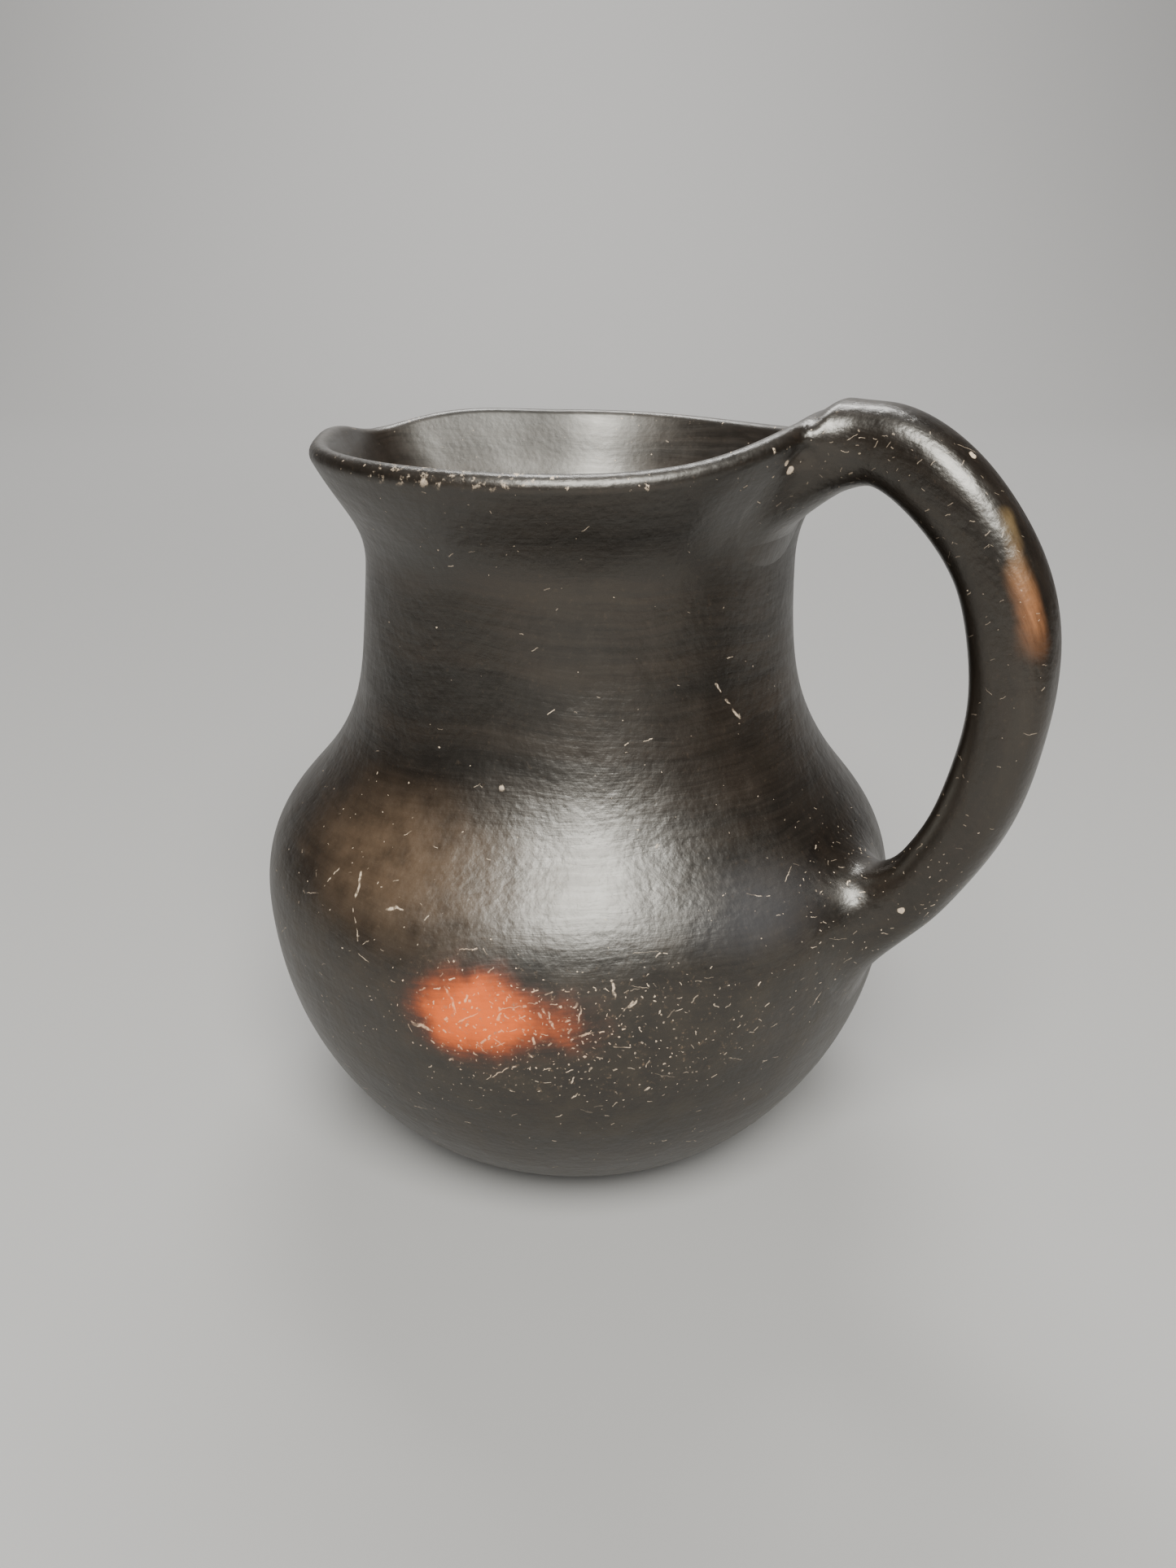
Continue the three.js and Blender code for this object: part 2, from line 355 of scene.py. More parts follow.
def handle_distance(p, q):
    """Signed distance from the roll, whose top end stops over the middle of the lip."""
    coarse = line_c[::8]
    s = line_s[::8][np.argmin(((p[:, None, ::2] - coarse[None, :, ::2]) ** 2).sum(-1), axis=1)]
    for _ in range(5):
        centre = np.stack([np.interp(s, line_s, line_c[:, i]) for i in (0, 2)], 1)
        along = np.stack([np.interp(s, line_s, line_t[:, i]) for i in (0, 2)], 1)
        s = np.clip(s + ((p[:, ::2] - centre) * along).sum(-1), 0, handle_length)
    d = p[:, ::2] - np.stack([np.interp(s, line_s, line_c[:, i]) for i in (0, 2)], 1)
    n = (d * np.stack([-along[:, 1], along[:, 0]], 1)).sum(-1)
    past = (d * along).sum(-1)
    roll = np.sqrt(n**2 + p[:, 1] ** 2 + past**2) - handle_radius(s, np.arctan2(p[:, 1], n))
    inside_lip = lip_centre[0] - np.hypot(q[:, 0], q[:, 1])
    cut = inside_lip - 60 * (1 - smoothstep(q[:, 2], MOUTH_HEIGHT - 14, MOUTH_HEIGHT - 5))
    return smooth_max(roll, cut, LIP_CUT_ROUND) if near_top(p) else roll


def blend_width(q):
    """How far the smeared clay reaches: least on the inner half of the lip."""
    width = LOWEST_BLEND + (LOWER_BLEND - LOWEST_BLEND) * smoothstep(q[:, 2], 52, 82)
    width = width + (UPPER_BLEND - LOWER_BLEND) * smoothstep(q[:, 2], 95, 125)
    radius = np.hypot(q[:, 0], q[:, 1])
    on_lip = smoothstep(q[:, 2], MOUTH_HEIGHT - 5, MOUTH_HEIGHT) * (1 - smoothstep(radius, 57, 61.5))
    return width + (LIP_BLEND - width) * on_lip


def joined_distance(p):
    """Signed distance from the pot and the roll together, with the corner between them filled."""
    q = before_hands(p)
    pot, roll, k = pot_distance(q), handle_distance(p, q), blend_width(q)
    h = np.maximum(k - np.abs(pot - roll), 0) / k
    return np.minimum(pot, roll) - h * h * k / 4


def slope_of(distance, p, here=None, step=0.04):
    """The gradient of a distance, one-sided where its value is already known."""
    out = np.empty_like(p)
    for i in range(3):
        e = np.zeros(3)
        e[i] = step
        if here is None:
            out[:, i] = (distance(p + e) - distance(p - e)) / (2 * step)
        else:
            out[:, i] = (distance(p + e) - here) / step
    return out


def settle(p, rounds):
    """Moves points onto the joined surface."""
    for _ in range(rounds):
        here = joined_distance(p)
        g = slope_of(joined_distance, p, here)
        p = p - here[:, None] * g / np.maximum((g * g).sum(-1, keepdims=True), 0.05)
    return p


def after_wobble(p, n):
    """Points and normals once the wobble has moved them."""
    a = unit(np.cross(n, np.array([0.31, 0.52, 0.79])))
    b = np.cross(n, a)
    h = 0.05
    da = wobble(p + h * a) - wobble(p - h * a)
    db = wobble(p + h * b) - wobble(p - h * b)
    return wobble(p), unit(np.cross(da, db))


# ---- The roots of the handle ---------------------------------------------------------------------

ROLL_SIDES = 96
ROOT_ROWS = 44
UPPER_ROOT_END = 24.0
LOWER_ROOT_END = handle_length - 30.0
LOWER_ROOT_HEIGHT = 68.0
roll_angle = np.linspace(0, 2 * math.pi, ROLL_SIDES, endpoint=False)

path_along = np.concatenate([[0], np.cumsum(np.linalg.norm(np.diff(path, axis=0), axis=1))])


def on_pot(along, sideways):
    """Points of the pot's surface, by distance along the path and sideways from the handle."""
    rz = np.stack([np.interp(along, path_along, path[:, i]) for i in range(2)], 1)
    angle = sideways / np.maximum(rz[:, 0], 40)
    flat = np.stack([rz[:, 0] * np.cos(angle), rz[:, 0] * np.sin(angle), rz[:, 1]], 1)
    return shape_by_hand(flat)


def root_grid(ring_s, toward, centre_along, crest_stop):
    """A grid from the ring of the roll at ring_s out to where its smeared clay ends on the pot."""
    # Angle 0 on the roll is the back of the bend: up the path at the upper root, down it at the
    # lower one.
    turn = np.cos(roll_angle) * (1 if toward < 0 else -1)
    side = np.sin(roll_angle)
    low, high = np.zeros(ROLL_SIDES), np.full(ROLL_SIDES, 45.0)
    for _ in range(30):
        middle = (low + high) / 2
        p = on_pot(centre_along + middle * turn, middle * side)
        q = before_hands(p)
        clear = handle_distance(p, q) > blend_width(q)
        high = np.where(clear, middle, high)
        low = np.where(clear, low, middle)
    reach = high + 0.4
    if crest_stop is not None:
        limit = np.where(turn > 0.05, (crest_stop - centre_along) / np.maximum(turn, 0.05), 99)
        reach = -np.log(np.exp(-reach / 2.0) + np.exp(-limit / 2.0)) * 2.0
    land = on_pot(centre_along + reach * turn, reach * side)
    before = on_pot(centre_along + (reach - 0.5) * turn, (reach - 0.5) * side)
    ring = handle_points(np.full(ROLL_SIDES, ring_s), roll_angle)
    leave = np.broadcast_to(handle_tangent(np.array([ring_s])) * toward, ring.shape)
    gap = np.linalg.norm(land - ring, axis=1, keepdims=True)
    t = np.linspace(0, 1, ROOT_ROWS)[:, None, None]
    h00, h10 = 2 * t**3 - 3 * t**2 + 1, t**3 - 2 * t**2 + t
    h01, h11 = 3 * t**2 - 2 * t**3, t**3 - t**2
    grid = h00 * ring + h10 * leave * gap * 1.1 + h01 * land + h11 * unit(land - before) * gap * 1.1
    for _ in range(4):
        inner = settle(grid[1:-1].reshape(-1, 3), 2).reshape(ROOT_ROWS - 2, ROLL_SIDES, 3)
        grid = np.concatenate([grid[:1], inner, grid[-1:]])
        for _ in range(6):
            grid[1:-1] = (
                0.5 * grid[1:-1]
                + 0.17 * (grid[:-2] + grid[2:])
                + 0.08 * (np.roll(grid, 1, 1) + np.roll(grid, -1, 1))[1:-1]
            )
    inner = settle(grid[1:-1].reshape(-1, 3), 4).reshape(ROOT_ROWS - 2, ROLL_SIDES, 3)
    return np.concatenate([grid[:1], inner, grid[-1:]])


crest_along = path_along[first_lip + LIP_ROWS // 2 + 2]
lower_along = np.interp(LOWER_ROOT_HEIGHT, outer_points[:, 1], path_along[first_outer:first_lip])
upper_root = root_grid(UPPER_ROOT_END, -1, crest_along - 9.0, crest_along + 1.5)
lower_root = root_grid(LOWER_ROOT_END, 1, lower_along, None)
roll_s = np.linspace(UPPER_ROOT_END, LOWER_ROOT_END, 90)
roll = handle_points(*np.meshgrid(roll_s, roll_angle, indexing="ij"))

# ---- Meshes --------------------------------------------------------------------------------------


def strip(rows, columns, start=0):
    """Quads of a grid that closes on itself along its columns."""
    r, c = np.meshgrid(np.arange(rows - 1), np.arange(columns), indexing="ij")
    a = start + r * columns + c
    b = start + r * columns + (c + 1) % columns
    return np.stack([a, b, b + columns, a + columns], -1).reshape(-1, 4)


def make_piece(name, points, normals, quads, flat_quads, fans, material):
    """A closed mesh: quads with the given normals, and flat quads and fans for its hidden ends."""
    faces = [tuple(q) for q in quads] + [tuple(q) for q in flat_quads] + fans
    mesh = bpy.data.meshes.new(name)
    mesh.from_pydata([tuple(p) for p in points * MM], [], faces)
    mesh.update()
    corner = np.empty(len(mesh.loops), int)
    mesh.loops.foreach_get("vertex_index", corner)
    loop_normals = normals[corner]
    smooth = len(quads) * 4
    face_normals = np.empty(len(mesh.polygons) * 3)
    mesh.polygons.foreach_get("normal", face_normals)
    face_normals = face_normals.reshape(-1, 3)
    totals = np.array([len(f) for f in faces])
    loop_normals[smooth:] = np.repeat(face_normals[len(quads) :], totals[len(quads) :], axis=0)
    mesh.polygons.foreach_set("use_smooth", np.ones(len(faces), bool))
    mesh.normals_split_custom_set([tuple(n) for n in loop_normals])
    mesh.materials.append(material)
    piece = bpy.data.objects.new(name, mesh)
    bpy.context.collection.objects.link(piece)
    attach(piece, "root")
    return piece


# ---- Clay ----------------------------------------------------------------------------------------

# Linear colours.
SOOT_BLACK = (0.0028, 0.0017, 0.0009, 1)
CLAY_BLACK = (0.0165, 0.0100, 0.0055, 1)
DULL_BROWN = (0.026, 0.019, 0.011, 1)
# Brown stain on the left belly, with a painted warm sheen of light over it.
WARM_BROWN_AND_SHEEN = (0.105, 0.066, 0.038, 1)
# Painted sheen: a bluish reflection of light on the belly, painted into the colour.
PAINTED_BLUE_SHEEN = (0.052, 0.052, 0.056, 1)
BRONZE_ABOVE = (0.13, 0.085, 0.035, 1)
BRONZE_BELOW = (0.30, 0.12, 0.045, 1)
FIRE_EDGE = (0.090, 0.015, 0.002, 1)
FIRE_HEART = (0.57, 0.085, 0.0, 1)
DUST = (0.20, 0.13, 0.075, 1)
BARE_CLAY = (0.56, 0.44, 0.32, 1)
BARE_RED_CLAY = (0.66, 0.33, 0.17, 1)
SPECULAR_TINT = (1, 0.97, 0.90, 1)
SPECULAR_LEVEL = 0.85

# Patches on the pot: azimuth in degrees and height of the middle, half width and half height.
FIRE_CLOUD = (-70.5, 65.5, 24.0, 17.0)
FIRE_CLOUD_TAIL = (-61.0, 64.5, 23.0, 13.5)
# Where the brown stain and its painted warm sheen lie on the left belly.
BROWN_STAIN_AND_SHEEN = (-88.0, 89.0, 42.0, 18.0)
# Where the bluish sheen is painted on the belly, right of the highlight.
BLUE_SHEEN_PATCH = (-24.0, 82.0, 24.0, 11.0)
SCUFFED = (-52.0, 61.0, 48.0, 20.0)

# Single scratches on the pot: azimuth and height of both ends, and half width.
SCRATCHES = (
    (-20.6, 123.4, -17.8, 119.5, 0.22),
    (-17.8, 119.5, -14.9, 115.5, 0.26),
    (-96.4, 85.9, -94.6, 81.2, 0.34),
    (-94.6, 81.2, -91.9, 75.0, 0.14),
    (-100.1, 90.4, -103.1, 81.2, 0.16),
    (-89.0, 81.2, -83.4, 82.8, 0.22),
    (-49.7, 73.9, -49.7, 69.3, 0.3),
    (-45.9, 72.7, -48.7, 67.0, 0.24),
    (-56.2, 62.4, -52.5, 63.5, 0.2),
    (-75.5, 71.5, -73.2, 66.5, 0.42),
    (-60.6, 68.6, -58.4, 65.2, 0.34),
    (-81.2, 61.5, -78.0, 60.8, 0.36),
    (-71.6, 104.9, -71.9, 104.4, 0.55),
)

# The bronze streak along the outer face of the handle: points in space, and half widths between them.
HANDLE_STREAK = ((94.0, -4.8, 158.9), (97.7, -5.9, 151.1), (101.1, -6.2, 141.1), (102.7, -5.9, 136.7))
HANDLE_STREAK_WIDTHS = (2.8, 3.6, 4.2)

# Chips on the handle and beside it: a point in space and a half width.
HANDLE_CHIPS = (
    ((86.0, -2.2, 168.6), 0.9),
    ((84.9, -7.2, 79.2), 0.8),
    ((55.7, -11.9, 164.6), 0.8),
    ((55.6, -13.2, 166.0), 0.5),
)


class Nodes:
    """Short ways to add shader nodes. Numbers and sockets can both be given as inputs."""

    def __init__(self, material):
        self.tree = material.node_tree

    def add(self, kind, inputs, output=0, **settings):
        node = self.tree.nodes.new("ShaderNode" + kind)
        for key, value in settings.items():
            setattr(node, key, value)
        for key, value in inputs.items():
            if isinstance(value, bpy.types.NodeSocket):
                self.tree.links.new(value, node.inputs[key])
            else:
                node.inputs[key].default_value = value
        return node.outputs[output]

    def math(self, operation, a, b=0.0, c=0.0):
        return self.add("Math", {0: a, 1: b, 2: c}, operation=operation)

    def total(self, *values):
        out = values[0]
        for value in values[1:]:
            out = self.math("ADD", out, value)
        return out

    def times(self, *values):
        out = values[0]
        for value in values[1:]:
            out = self.math("MULTIPLY", out, value)
        return out

    def most(self, *values):
        out = values[0]
        for value in values[1:]:
            out = self.math("MAXIMUM", out, value)
        return out

    def vector(self, operation, a, b=(0, 0, 0), scale=1.0):
        number = operation in ("LENGTH", "DOT_PRODUCT")
        return self.add("VectorMath", {0: a, 1: b, 3: scale}, 1 if number else 0, operation=operation)

    def distance(self, a, b):
        return self.vector("LENGTH", self.vector("SUBTRACT", a, b))

    def xyz(self, x, y, z):
        return self.add("CombineXYZ", {0: x, 1: y, 2: z})

    def smooth(self, x, low, high):
        """0 at low and 1 at high. Low may be the larger of the two."""
        return self.add("MapRange", {0: x, 1: low, 2: high}, interpolation_type="SMOOTHSTEP")

    def noise(self, place, scale, detail=2.0, roughness=0.5, output=0):
        inputs = {"Vector": place, "Scale": scale, "Detail": detail, "Roughness": roughness}
        return self.add("TexNoise", inputs, output)

    def mix(self, amount, a, b):
        return self.add("Mix", {0: amount, 6: a, 7: b}, 2, data_type="RGBA")

    def nicks(self, place, normal, cell, length, width, chance):
        """Short straight marks lying in the surface, one to a cell of the given size, some left out."""
        inputs = {"Vector": place, "Scale": 1 / cell}
        centre = self.add("TexVoronoi", inputs, 2)
        luck = self.tree.nodes[-1].outputs[1]
        r, g, b = (self.add("SeparateColor", {0: luck}, i) for i in range(3))
        d = self.vector("SUBTRACT", place, centre)
        lean = self.vector("SUBTRACT", luck, (0.5, 0.5, 0.5))
        along = self.vector("NORMALIZE", self.vector("CROSS_PRODUCT", normal, lean))
        across = self.vector("CROSS_PRODUCT", normal, along)
        u = self.math("ABSOLUTE", self.vector("DOT_PRODUCT", d, along))
        v = self.math("ABSOLUTE", self.vector("DOT_PRODUCT", d, across))
        reach = self.times(length, self.math("MULTIPLY_ADD", r, 0.8, 0.2))
        broad = self.times(width, self.math("MULTIPLY_ADD", g, 0.8, 0.4))
        ends = self.smooth(self.math("DIVIDE", u, reach), 1.0, 0.7)
        sides = self.smooth(self.math("DIVIDE", v, broad), 1.0, 0.45)
        return self.times(ends, sides, self.math("LESS_THAN", b, chance))

    def patch(self, place, azimuth, height, width, tall, soft):
        """An oval on the pot that is 1 in the middle and 0 outside. Soft is how much of it is edge."""
        a = math.radians(azimuth)
        d = self.vector("SUBTRACT", place, (70 * math.cos(a), 70 * math.sin(a), height))
        u = self.vector("DOT_PRODUCT", d, (-math.sin(a) / width, math.cos(a) / width, 0))
        v = self.vector("DOT_PRODUCT", d, (0, 0, 1 / tall))
        w = self.vector("DOT_PRODUCT", d, (math.cos(a) / 60, math.sin(a) / 60, 0))
        return self.smooth(self.vector("LENGTH", self.xyz(u, v, w)), 1.0, 1.0 - soft)

    def line(self, place, start, end, width, soft=0.5):
        """A straight mark between two points in space."""
        step = Vector(end) - Vector(start)
        d = self.vector("SUBTRACT", place, start)
        t = self.math("DIVIDE", self.vector("DOT_PRODUCT", d, tuple(step)), step.length_squared)
        t = self.add("Clamp", {0: t})
        off = self.vector("SUBTRACT", d, self.vector("SCALE", tuple(step), scale=t))
        return self.smooth(self.vector("LENGTH", off), width, width * (1 - soft))


def on_wall(azimuth, height):
    """The point of the finished outside wall at an azimuth and a height."""
    k = int(round(math.radians(azimuth) / (2 * math.pi) * SIDES)) % SIDES
    row = first_outer + int(np.argmin(np.abs(pot[first_outer:first_lip, k, 2] - height)))
    here = pot[row, k]
    a = math.radians(azimuth)
    radius = math.hypot(here[0], here[1])
    return (float(radius * math.cos(a)), float(radius * math.sin(a)), float(height))


def clay_material(name, handle):
    """Burnished blackware: dark brown clay, strokes of the stone, a pebbly skin, stains and wear, a
    painted warm sheen over a brown stain and a painted bluish sheen.
    """
    material = bpy.data.materials.new(name)
    material.use_nodes = True
    n = Nodes(material)
    shader = material.node_tree.nodes["Principled BSDF"]
    p = n.vector("SCALE", n.add("TexCoord", {}, "Object"), scale=1000.0)
    normal = n.add("NewGeometry", {}, "Normal")
    x, y, z = (n.add("SeparateXYZ", {0: p}, i) for i in range(3))
    radius = n.vector("LENGTH", n.xyz(x, y, 0.0))
    drift = n.vector("SUBTRACT", n.noise(p, 0.09, 2, 0.5, 1), (0.5, 0.5, 0.5))
    shaky = n.vector("ADD", p, n.vector("SCALE", drift, scale=5.0))
    quiver = n.vector("SUBTRACT", n.noise(p, 0.8, 2, 0.5, 1), (0.5, 0.5, 0.5))
    ragged = n.vector("ADD", p, n.vector("SCALE", quiver, scale=0.9))
    bend = n.vector("SUBTRACT", n.noise(p, 0.22, 1, 0.5, 1), (0.5, 0.5, 0.5))
    bent = n.vector("ADD", ragged, n.vector("SCALE", bend, scale=3.0))

    # Strokes of the burnishing stone run round the pot and along the handle.
    if handle:
        out, up = n.math("SUBTRACT", x, 60.0), n.math("SUBTRACT", z, 118.0)
        turn = n.times(n.math("ARCTAN2", up, out), 40.0)
        rho = n.vector("LENGTH", n.xyz(out, up, 0.0))
        sx, sy = (n.add("SeparateXYZ", {0: drift}, i) for i in range(2))
        sideways = n.math("MULTIPLY_ADD", sx, 9.0, n.times(y, 14.0))
        lanes = n.xyz(turn, sideways, n.math("MULTIPLY_ADD", sy, 9.0, n.times(rho, 14.0)))
    else:
        sway = n.math("MULTIPLY_ADD", n.noise(p, 0.02, 1), 14.0, n.times(n.noise(p, 0.12, 1), 1.2))
        lanes = n.xyz(x, y, n.times(n.total(z, sway), 22.0))
    fine = n.noise(lanes, 0.05, 4, 0.65)
    broad = n.noise(lanes, 0.012, 2, 0.5)
    cloud = n.noise(p, 0.022, 3, 0.55)
    mottle = n.noise(p, 0.16, 4, 0.6)
    grain = n.noise(p, 1.9, 3, 0.6)

    # Regions.
    tail = n.times(n.patch(shaky, *FIRE_CLOUD_TAIL, 1.0), 0.65)
    fire = n.most(n.patch(shaky, *FIRE_CLOUD, 0.9), tail)
    uneven = n.math("MULTIPLY_ADD", n.smooth(mottle, 0.2, 0.7), 0.6, 0.4)
    brown_with_painted_sheen = n.times(n.patch(shaky, *BROWN_STAIN_AND_SHEEN, 0.9), uneven)
    painted_blue_sheen = n.patch(shaky, *BLUE_SHEEN_PATCH, 0.95)
    scuffed = n.patch(shaky, *SCUFFED, 0.6)
    near_root = n.smooth(n.distance(p, (80.0, -6.0, 80.0)), 30.0, 8.0)
    near_top_root = n.smooth(n.distance(p, (58.0, -10.0, 166.0)), 18.0, 4.0)
    low_down = n.smooth(z, 92.0, 60.0)
    on_rim = n.times(n.smooth(z, 162.5, 164.5), n.smooth(radius, 53.5, 56.0))

    # Wear.
    busy = n.total(0.015, n.times(low_down, 0.07), n.times(fire, 0.3), n.times(scuffed, 0.42))
    busy = n.total(busy, n.times(near_root, 0.3), n.times(near_top_root, 0.12))
    busy = n.total(busy, n.times(n.smooth(cloud, 0.5, 0.7), 0.06))
    bold = n.total(1.0, n.times(fire, 0.8), n.times(scuffed, 0.5))
    specks = n.nicks(ragged, normal, 2.0, 0.24, n.times(bold, 0.15), n.times(busy, 1.3))
    short = n.nicks(ragged, normal, 3.0, 1.1, n.times(bold, 0.13), n.times(busy, 0.9))
    shifted = n.vector("ADD", ragged, (31.0, 17.0, 5.0))
    long_ = n.nicks(shifted, normal, 7.0, 3.6, n.times(bold, 0.11), n.times(busy, 0.8))
    dusty = n.total(0.08, n.times(scuffed, 0.5), n.times(fire, 0.8))
    dust = n.times(n.smooth(n.noise(p, 0.9, 6, 0.75), 0.56, 0.74), dusty)
    fade = n.math("MULTIPLY_ADD", n.smooth(n.noise(p, 0.35, 2), 0.4, 0.62), 0.75, 0.25)
    marks = n.times(n.most(specks, short, n.times(long_, 0.8)), n.most(fade, n.times(fire, 0.8)))
    if handle:
        side = n.smooth(n.math("ABSOLUTE", n.math("ADD", y, 7.0)), 6.0, 1.0)
        often = n.times(side, n.math("MULTIPLY_ADD", n.smooth(z, 138.0, 158.0), 0.25, 0.08))
        marks = n.most(marks, n.times(n.nicks(ragged, normal, 2.2, 0.8, 0.11, often), 0.35))
        for (cx, cy, cz), size in HANDLE_CHIPS:
            marks = n.most(marks, n.line(ragged, (cx, cy, cz), (cx + 0.3, cy, cz + 0.3), size, 0.3))
        spans = zip(HANDLE_STREAK, HANDLE_STREAK[1:], HANDLE_STREAK_WIDTHS)
        streak = n.most(*(n.line(shaky, a, b, wide, 1.0) for a, b, wide in spans))
        streak = n.times(streak, n.math("MULTIPLY_ADD", n.smooth(fine, 0.25, 0.75), 0.5, 0.45))
        streak = n.times(streak, n.smooth(z, 132.0, 146.0))
    else:
        single = 0.0
        for az0, z0, az1, z1, width in SCRATCHES:
            single = n.most(single, n.line(bent, on_wall(az0, z0), on_wall(az1, z1), width + 0.1, 0.6))
        flaked = n.math("MULTIPLY_ADD", n.smooth(n.noise(p, 1.3, 3), 0.38, 0.55), 0.65, 0.2)
        marks = n.most(marks, n.times(single, flaked))
        front = n.smooth(n.distance(p, (12.0, -56.5, 165.0)), 26.0, 8.0)
        enough = n.math("MULTIPLY_ADD", front, -0.15, 0.67)
        rim_wear = n.times(on_rim, n.smooth(n.noise(p, 0.6, 4, 0.65), enough, 0.68))
        marks = n.most(marks, n.times(rim_wear, 0.85))

    # Colour.
    tone = n.total(n.times(cloud, 0.55), n.times(broad, 0.35), n.times(fine, 0.32))
    tone = n.total(tone, n.times(mottle, 0.2), -0.31)
    colour = n.mix(n.smooth(tone, 0.2, 0.8), SOOT_BLACK, CLAY_BLACK)
    # Brown stain with a painted warm sheen of light, left of the highlight.
    colour = n.mix(n.times(brown_with_painted_sheen, 0.6), colour, WARM_BROWN_AND_SHEEN)
    # Painted bluish sheen of light on the belly.
    colour = n.mix(n.times(painted_blue_sheen, 0.5), colour, PAINTED_BLUE_SHEEN)
    dull = n.times(low_down, n.smooth(mottle, 0.35, 0.75), 0.4)
    colour = n.mix(dull, colour, DULL_BROWN)
    if handle:
        bronze = n.mix(n.smooth(z, 158.0, 143.0), BRONZE_ABOVE, BRONZE_BELOW)
        colour = n.mix(n.times(streak, 0.9), colour, bronze)
    else:
        heat = n.total(fire, n.times(mottle, 0.55), n.times(fine, 0.25), -0.42)
        hot = n.mix(n.smooth(heat, 0.2, 1.05), FIRE_EDGE, FIRE_HEART)
        colour = n.mix(n.math("POWER", n.smooth(heat, 0.0, 0.85), 1.7), colour, hot)
    colour = n.mix(dust, colour, DUST)
    flake = n.mix(fire, BARE_CLAY, BARE_RED_CLAY)
    colour = n.mix(n.times(marks, n.math("MULTIPLY_ADD", grain, 0.7, 0.45)), colour, flake)

    # Gloss.
    rough = n.total(0.17 if handle else 0.22, n.times(mottle, 0.16), n.times(fine, 0.18))
    rough = n.total(rough, n.times(dust, 0.25), n.times(marks, 0.3))
    rough = n.total(rough, n.times(low_down, 0.05), n.times(fire, 0.2))

    # Relief in millimetres.
    cells = {"Vector": ragged, "Scale": 0.7, "Smoothness": 0.6}
    pebbles = n.add("TexVoronoi", cells, feature="SMOOTH_F1")
    relief = n.total(
        n.times(n.noise(p, 0.07, 2, 0.5), 0.55),
        n.times(mottle, 0.16),
        n.times(n.noise(p, 0.5, 3, 0.6), 0.08),
        n.times(pebbles, 0.050),
        n.times(fine, 0.055),
        n.times(grain, 0.010),
    )
    outward = n.vector("DOT_PRODUCT", normal, n.vector("NORMALIZE", n.xyz(x, y, 0.0)))
    relief = n.times(relief, n.math("MULTIPLY_ADD", n.smooth(outward, -0.3, 0.0), 0.6, 0.4))
    bump_node = n.add("Bump", {"Strength": 1.0, "Distance": 0.001, "Height": relief})
    material.node_tree.links.new(colour, shader.inputs["Base Color"])
    material.node_tree.links.new(rough, shader.inputs["Roughness"])
    material.node_tree.links.new(bump_node, shader.inputs["Normal"])
    shader.inputs["Specular IOR Level"].default_value = SPECULAR_LEVEL
    shader.inputs["Specular Tint"].default_value = SPECULAR_TINT
    return material


pot = wobble(turned(path))
pot_normals = grid_normals(pot)
pot_clay = clay_material("burnished_clay", False)
handle_clay = clay_material("handle_clay", True)


def row_of(u):
    return first_outer + int(np.argmin(np.abs(outer_u - u)))


def inner_row_of(u):
    return first_inner + len(outer_u) - 1 - int(np.argmin(np.abs(outer_u - u)))


def wall_piece(name, low, high):
    """The wall between two places on the outline. None is the axis below or the lip above."""
    if low is None:
        spans = [(0, row_of(high) + 1), (inner_row_of(high), len(path))]
    elif high is None:
        spans = [(row_of(low), inner_row_of(low) + 1)]
    else:
        spans = [(row_of(low), row_of(high) + 1), (inner_row_of(high), inner_row_of(low) + 1)]
    points = np.concatenate([pot[a:b].reshape(-1, 3) for a, b in spans])
    normals = np.concatenate([pot_normals[a:b].reshape(-1, 3) for a, b in spans])
    quads, flat, starts = [], [], [0]
    for a, b in spans:
        quads.append(strip(b - a, SIDES, starts[-1]))
        starts.append(starts[-1] + (b - a) * SIDES)
    c = np.arange(SIDES)
    d = (c + 1) % SIDES
    top, bottom = starts[-1] - SIDES, 0
    if low is not None:
        flat.append(np.stack([top + c, top + d, bottom + d, bottom + c], 1))
    if high is not None:
        a, b = starts[1] - SIDES, starts[1]
        flat.append(np.stack([a + c, a + d, b + d, b + c], 1))
    fans = []
    if low is None:
        points = np.concatenate([points, [[0, 0, 0], [0, 0, FLOOR_THICKNESS]]])
        normals = np.concatenate([normals, [[0, 0, -1], [0, 0, 1]]])
        foot, floor = len(points) - 2, len(points) - 1
        fans += [(foot, int(j), int(i)) for i, j in zip(c, d)]
        fans += [(floor, int(top + i), int(top + j)) for i, j in zip(c, d)]
    flat = np.concatenate(flat) if flat else []
    piece = make_piece(name, points, normals, np.concatenate(quads), flat, fans, pot_clay)
    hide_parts(name.replace("fine_", ""))
    return piece


def tube_piece(name, grid, replaces):
    """A part of the handle from its grid of rings, closed by a fan over each end."""
    points = grid.reshape(-1, 3)
    points, normals = after_wobble(points, unit(slope_of(joined_distance, points)))
    count = len(points)
    quads = strip(len(grid), ROLL_SIDES)[:, ::-1]
    fans, middles = [], []
    for start, back in ((0, False), (count - ROLL_SIDES, True)):
        middle = count + len(middles)
        middles.append(points[start : start + ROLL_SIDES].mean(0))
        for i in range(ROLL_SIDES):
            a, b = start + i, start + (i + 1) % ROLL_SIDES
            fans.append((middle, b, a) if back else (middle, a, b))
    points = np.concatenate([points, middles])
    normals = np.concatenate([normals, np.tile([0.0, 0.0, 1.0], (len(middles), 1))])
    piece = make_piece(name, points, normals, quads, [], fans, handle_clay)
    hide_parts(replaces)
    return piece


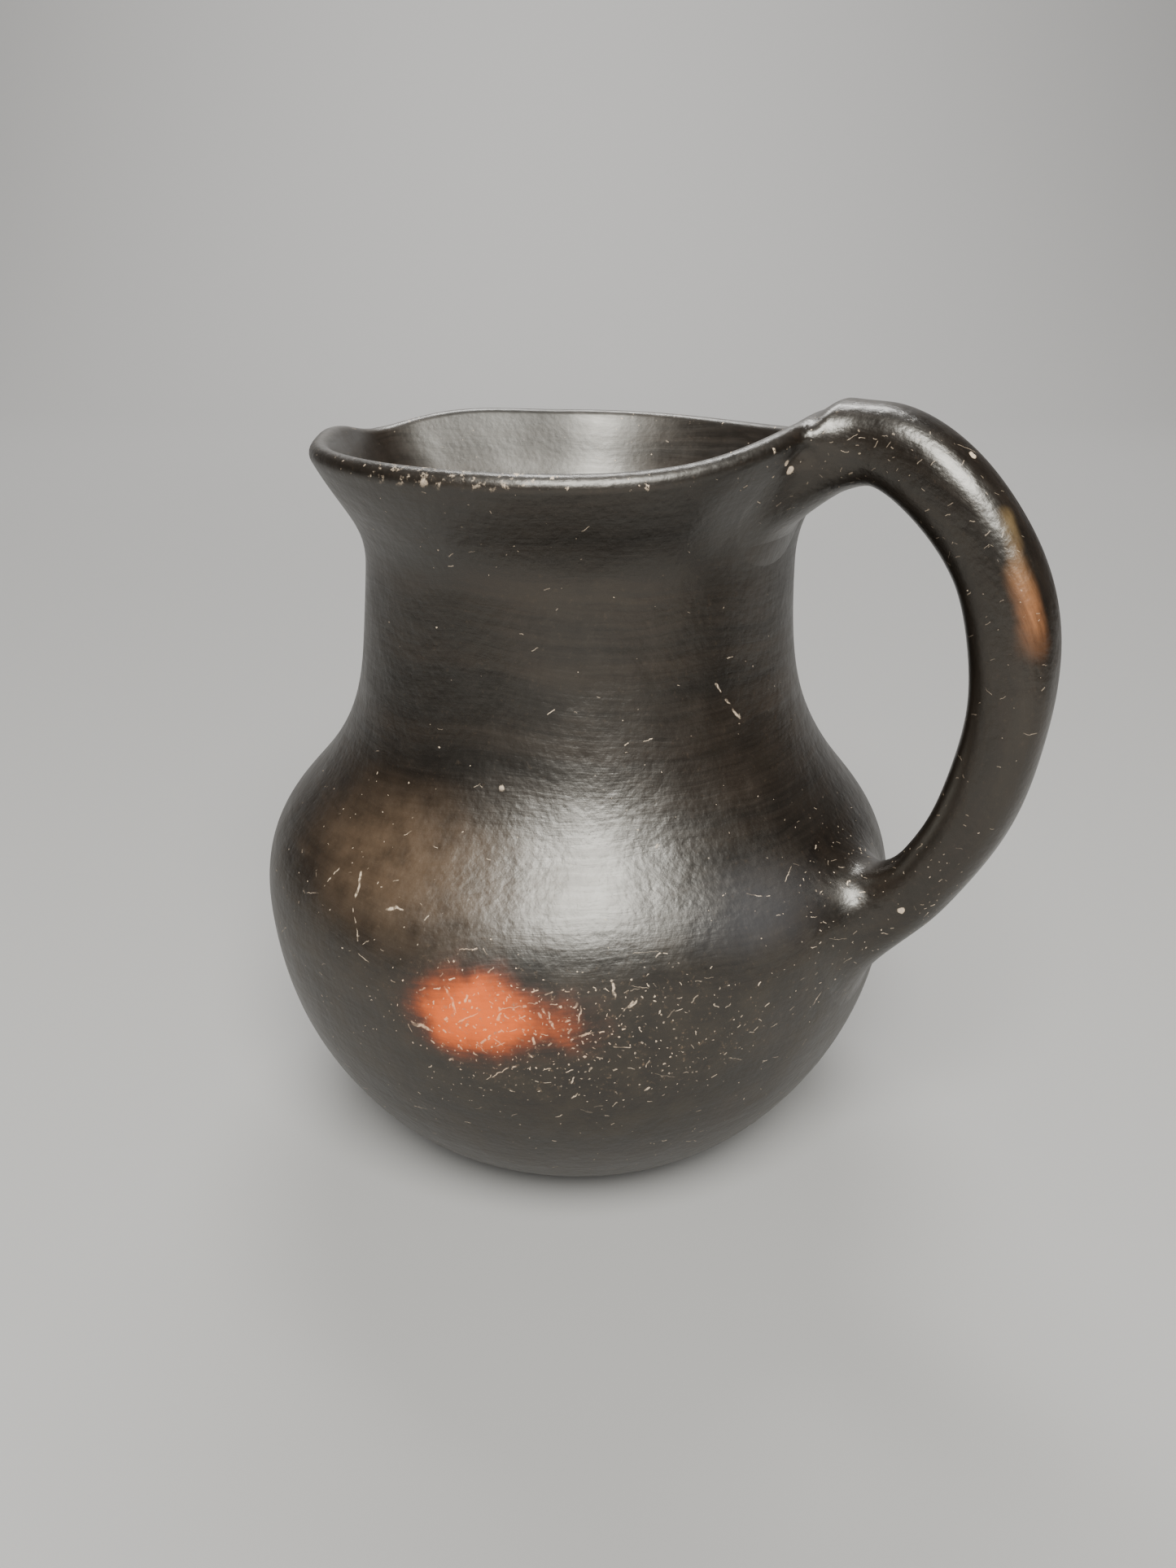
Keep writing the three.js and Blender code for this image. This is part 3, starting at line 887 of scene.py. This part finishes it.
wall_piece("fine_base_bowl", None, 1)
wall_piece("fine_shoulder_coil", 1, SHOULDER_TOP)
wall_piece("fine_neck_coil", SHOULDER_TOP, NECK_TOP)
wall_piece("fine_mouth_coil", NECK_TOP, None)
tube_piece("fine_handle_coil", roll, "handle_coil")
tube_piece("fine_upper_root", upper_root[::-1], "upper_handle_lute")
tube_piece("fine_lower_root", lower_root, "lower_handle_lute")

# ---- Camera, light and floor ---------------------------------------------------------------------

CAMERA_AZIMUTH = math.radians(35)
CAMERA_DISTANCE = 263.9
CAMERA_HEIGHT = 196.8
CAMERA_YAW = 0.0089
CAMERA_PITCH = 0.4043
CAMERA_ROLL = 0.0045
CAMERA_LENS = 27.03

camera = bpy.data.objects.new("camera", bpy.data.cameras.new("camera"))
bpy.context.collection.objects.link(camera)
camera.location = (
    CAMERA_DISTANCE * math.sin(CAMERA_AZIMUTH) * MM,
    -CAMERA_DISTANCE * math.cos(CAMERA_AZIMUTH) * MM,
    CAMERA_HEIGHT * MM,
)
camera.rotation_mode = "XYZ"
camera.rotation_euler = (
    Matrix.Rotation(CAMERA_AZIMUTH - CAMERA_YAW, 3, "Z")
    @ Matrix.Rotation(math.pi / 2 - CAMERA_PITCH, 3, "X")
    @ Matrix.Rotation(CAMERA_ROLL, 3, "Z")
).to_euler()
camera.data.sensor_width = 36
camera.data.lens = CAMERA_LENS
camera.data.clip_start = 0.01
bpy.context.scene.camera = camera

world = bpy.data.worlds.new("studio")
bpy.context.scene.world = world
world.use_nodes = True
world.node_tree.nodes["Background"].inputs["Color"].default_value = (1, 0.98, 0.96, 1)
world.node_tree.nodes["Background"].inputs["Strength"].default_value = 0.08


def area_light(name, place, target, size, watts, colour=(1, 1, 1)):
    light = bpy.data.lights.new(name, "AREA")
    light.shape = "ELLIPSE"
    light.size, light.size_y = size
    light.energy = watts
    light.color = colour
    lamp = bpy.data.objects.new(name, light)
    lamp.location = place
    lamp.rotation_euler = (Vector(target) - Vector(place)).to_track_quat("-Z", "Y").to_euler()
    bpy.context.collection.objects.link(lamp)
    return lamp


# The key stands high behind the camera. The other lamp, high behind the jug, lights the sweep.
area_light("key", (0.52, -0.68, 1.06), (0.0, 0.0, 0.09), (0.9, 0.78), 50, (1, 1, 0.97))
area_light("backdrop_light", (-0.9, 1.1, 2.2), (-1.2, 1.9, 0.3), (1.6, 0.8), 100)

# A pale sweep: the floor runs back from the jug and curves up behind it.
SWEEP_FLOOR = 4.0
SWEEP_BACK = 1.6
SWEEP_BEND = 0.9
SWEEP_TOP = 3.0
sweep = [(-SWEEP_FLOOR, 0.0)]
sweep += [
    (SWEEP_BACK + SWEEP_BEND * math.sin(math.radians(t)), SWEEP_BEND * (1 - math.cos(math.radians(t))))
    for t in range(0, 91, 5)
]
sweep += [(SWEEP_BACK + SWEEP_BEND, SWEEP_TOP)]
back = (-math.sin(CAMERA_AZIMUTH), math.cos(CAMERA_AZIMUTH))
aside = (back[1], -back[0])
sweep_points = [
    (back[0] * d + aside[0] * w, back[1] * d + aside[1] * w, z)
    for d, z in sweep
    for w in (-SWEEP_FLOOR, SWEEP_FLOOR)
]
sweep_faces = [(2 * i, 2 * i + 1, 2 * i + 3, 2 * i + 2) for i in range(len(sweep) - 1)]
floor_mesh = bpy.data.meshes.new("floor")
floor_mesh.from_pydata(sweep_points, [], sweep_faces)
floor_mesh.polygons.foreach_set("use_smooth", [True] * len(floor_mesh.polygons))
floor = bpy.data.objects.new("floor", floor_mesh)
bpy.context.collection.objects.link(floor)
floor_material = bpy.data.materials.new("floor")
floor_material.use_nodes = True
floor_shader = floor_material.node_tree.nodes["Principled BSDF"]
floor_shader.inputs["Base Color"].default_value = (0.27, 0.265, 0.258, 1)
floor_shader.inputs["Roughness"].default_value = 0.9
floor_mesh.materials.append(floor_material)
